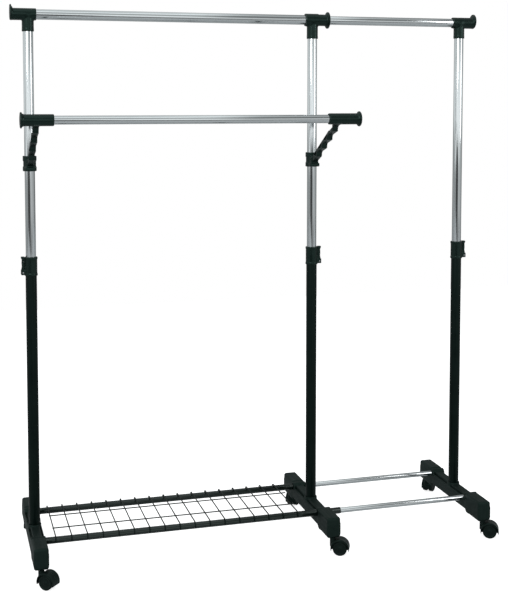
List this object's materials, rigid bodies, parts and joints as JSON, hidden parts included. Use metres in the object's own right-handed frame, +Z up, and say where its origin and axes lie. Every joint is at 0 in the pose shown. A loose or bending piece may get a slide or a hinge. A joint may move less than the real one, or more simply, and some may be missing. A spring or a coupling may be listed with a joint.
{
  "type": "rolling clothes rack",
  "caption": "Rolling clothes rack: telescopic chrome posts, top hanging rail with a slide-out side extension, adjustable front rail, wire shelf and swivel casters.",
  "frame": {"origin": "on the floor under the centre of the rack's bounding box, midway between the left and right posts", "axes": "+X along the hanging rails towards the slide-out extension, +Y from the front rail to the back, +Z up"},
  "size_m": [1.435, 0.5031, 1.6025],
  "materials": {
    "black_coated_tube": "satin",
    "black_coated_wire": "satin",
    "chrome_tube": "polished",
    "foot_plastic": "fine grain",
    "fitting_plastic": "satin",
    "hood_plastic": "semi-gloss",
    "wheel_plastic": "satin",
    "zinc_steel": "zinc plated"
  },
  "bodies": {
    "base": {"left_foot": "foot_plastic", "middle_foot": "foot_plastic", "left_lower_post": "black_coated_tube", "middle_lower_post": "black_coated_tube", "left_clamp_collar": "fitting_plastic", "middle_clamp_collar": "fitting_plastic", "main_lever_pins": "zinc_steel", "foot_screws": "zinc_steel", "front_bottom_rail": "black_coated_tube", "back_bottom_rail": "black_coated_tube", "wire_shelf": "black_coated_wire"},
    "top_frame": {"left_upper_post": "chrome_tube", "middle_upper_post": "chrome_tube", "upper_post_glides": "fitting_plastic", "left_tee": "fitting_plastic", "middle_tee": "fitting_plastic", "extension_bush": "fitting_plastic", "top_rail": "chrome_tube"},
    "front_bar": {"left_bracket": "fitting_plastic", "middle_bracket": "fitting_plastic", "bracket_screws": "zinc_steel", "front_rail": "chrome_tube"},
    "extension_base": {"right_foot": "foot_plastic", "right_lower_post": "black_coated_tube", "right_clamp_collar": "fitting_plastic", "right_lever_pin": "zinc_steel", "right_foot_screw": "zinc_steel", "front_bottom_extension": "chrome_tube", "back_bottom_extension": "chrome_tube"},
    "extension_top": {"right_upper_post": "chrome_tube", "right_post_glide": "fitting_plastic", "right_tee": "fitting_plastic", "top_extension_rail": "chrome_tube"},
    "left_lever": {"left_clamp_lever": "fitting_plastic"},
    "middle_lever": {"middle_clamp_lever": "fitting_plastic"},
    "right_lever": {"right_clamp_lever": "fitting_plastic"},
    "left_front_caster": {"left_front_caster_housing": "hood_plastic", "left_front_caster_pins": "zinc_steel"},
    "left_front_wheels": {"left_front_caster_wheels": "wheel_plastic"},
    "left_back_caster": {"left_back_caster_housing": "hood_plastic", "left_back_caster_pins": "zinc_steel"},
    "left_back_wheels": {"left_back_caster_wheels": "wheel_plastic"},
    "middle_front_caster": {"middle_front_caster_housing": "hood_plastic", "middle_front_caster_pins": "zinc_steel"},
    "middle_front_wheels": {"middle_front_caster_wheels": "wheel_plastic"},
    "middle_back_caster": {"middle_back_caster_housing": "hood_plastic", "middle_back_caster_pins": "zinc_steel"},
    "middle_back_wheels": {"middle_back_caster_wheels": "wheel_plastic"},
    "right_front_caster": {"right_front_caster_housing": "hood_plastic", "right_front_caster_pins": "zinc_steel"},
    "right_front_wheels": {"right_front_caster_wheels": "wheel_plastic"},
    "right_back_caster": {"right_back_caster_housing": "hood_plastic", "right_back_caster_pins": "zinc_steel"},
    "right_back_wheels": {"right_back_caster_wheels": "wheel_plastic"}
  },
  "joints": [
    {"name": "height_slide", "type": "slide", "parent": "base", "child": "top_frame", "axis": [0, 0, 1], "range_m": [-0.14, 0.05]},
    {"name": "front_bar_slide", "type": "slide", "parent": "top_frame", "child": "front_bar", "axis": [0, 0, 1], "range_m": [-0.1, 0.25]},
    {"name": "extension_slide", "type": "slide", "parent": "base", "child": "extension_base", "axis": [1, 0, 0], "range_m": [-0.38, 0.08]},
    {"name": "extension_height_slide", "type": "slide", "parent": "extension_base", "child": "extension_top", "axis": [0, 0, 1], "range_m": [-0.14, 0.05]},
    {"name": "left_lever_hinge", "type": "hinge", "parent": "base", "child": "left_lever", "pos_m": [-0.6895, -0.00359, 0.842], "axis": [0, -1, 0], "range_deg": [0, 95]},
    {"name": "middle_lever_hinge", "type": "hinge", "parent": "base", "child": "middle_lever", "pos_m": [0.2035, -0.00359, 0.842], "axis": [0, 1, 0], "range_deg": [0, 95]},
    {"name": "right_lever_hinge", "type": "hinge", "parent": "extension_base", "child": "right_lever", "pos_m": [0.6895, -0.00359, 0.842], "axis": [0, 1, 0], "range_deg": [0, 95]},
    {"name": "left_front_caster_swivel", "type": "hinge", "parent": "base", "child": "left_front_caster", "pos_m": [-0.6665, -0.20659, 0.05], "axis": [0, 0, 1], "continuous": true},
    {"name": "left_front_wheels_spin", "type": "hinge", "parent": "left_front_caster", "child": "left_front_wheels", "pos_m": [-0.64965, -0.22073, 0.021], "axis": [0.6428, 0.766, 0], "continuous": true},
    {"name": "left_back_caster_swivel", "type": "hinge", "parent": "base", "child": "left_back_caster", "pos_m": [-0.6665, 0.19941, 0.05], "axis": [0, 0, 1], "continuous": true},
    {"name": "left_back_wheels_spin", "type": "hinge", "parent": "left_back_caster", "child": "left_back_wheels", "pos_m": [-0.65617, 0.21884, 0.021], "axis": [-0.8829, 0.4695, 0], "continuous": true},
    {"name": "middle_front_caster_swivel", "type": "hinge", "parent": "base", "child": "middle_front_caster", "pos_m": [0.1805, -0.20659, 0.05], "axis": [0, 0, 1], "continuous": true},
    {"name": "middle_front_wheels_spin", "type": "hinge", "parent": "middle_front_caster", "child": "middle_front_wheels", "pos_m": [0.20044, -0.21588, 0.021], "axis": [0.4226, 0.9063, 0], "continuous": true},
    {"name": "middle_back_caster_swivel", "type": "hinge", "parent": "base", "child": "middle_back_caster", "pos_m": [0.1805, 0.19941, 0.05], "axis": [0, 0, 1], "continuous": true},
    {"name": "middle_back_wheels_spin", "type": "hinge", "parent": "middle_back_caster", "child": "middle_back_wheels", "pos_m": [0.19464, 0.21627, 0.021], "axis": [-0.766, 0.6428, 0], "continuous": true},
    {"name": "right_front_caster_swivel", "type": "hinge", "parent": "extension_base", "child": "right_front_caster", "pos_m": [0.6665, -0.20659, 0.05], "axis": [0, 0, 1], "continuous": true},
    {"name": "right_front_wheels_spin", "type": "hinge", "parent": "right_front_caster", "child": "right_front_wheels", "pos_m": [0.6861, -0.21657, 0.021], "axis": [0.454, 0.891, 0], "continuous": true},
    {"name": "right_back_caster_swivel", "type": "hinge", "parent": "extension_base", "child": "right_back_caster", "pos_m": [0.6665, 0.19941, 0.05], "axis": [0, 0, 1], "continuous": true},
    {"name": "right_back_wheels_spin", "type": "hinge", "parent": "right_back_caster", "child": "right_back_wheels", "pos_m": [0.68206, 0.21497, 0.021], "axis": [-0.7071, 0.7071, 0], "continuous": true}
  ],
  "couplings": [
    {"joint": "extension_height_slide", "follows": "height_slide", "ratio": 1}
  ]
}
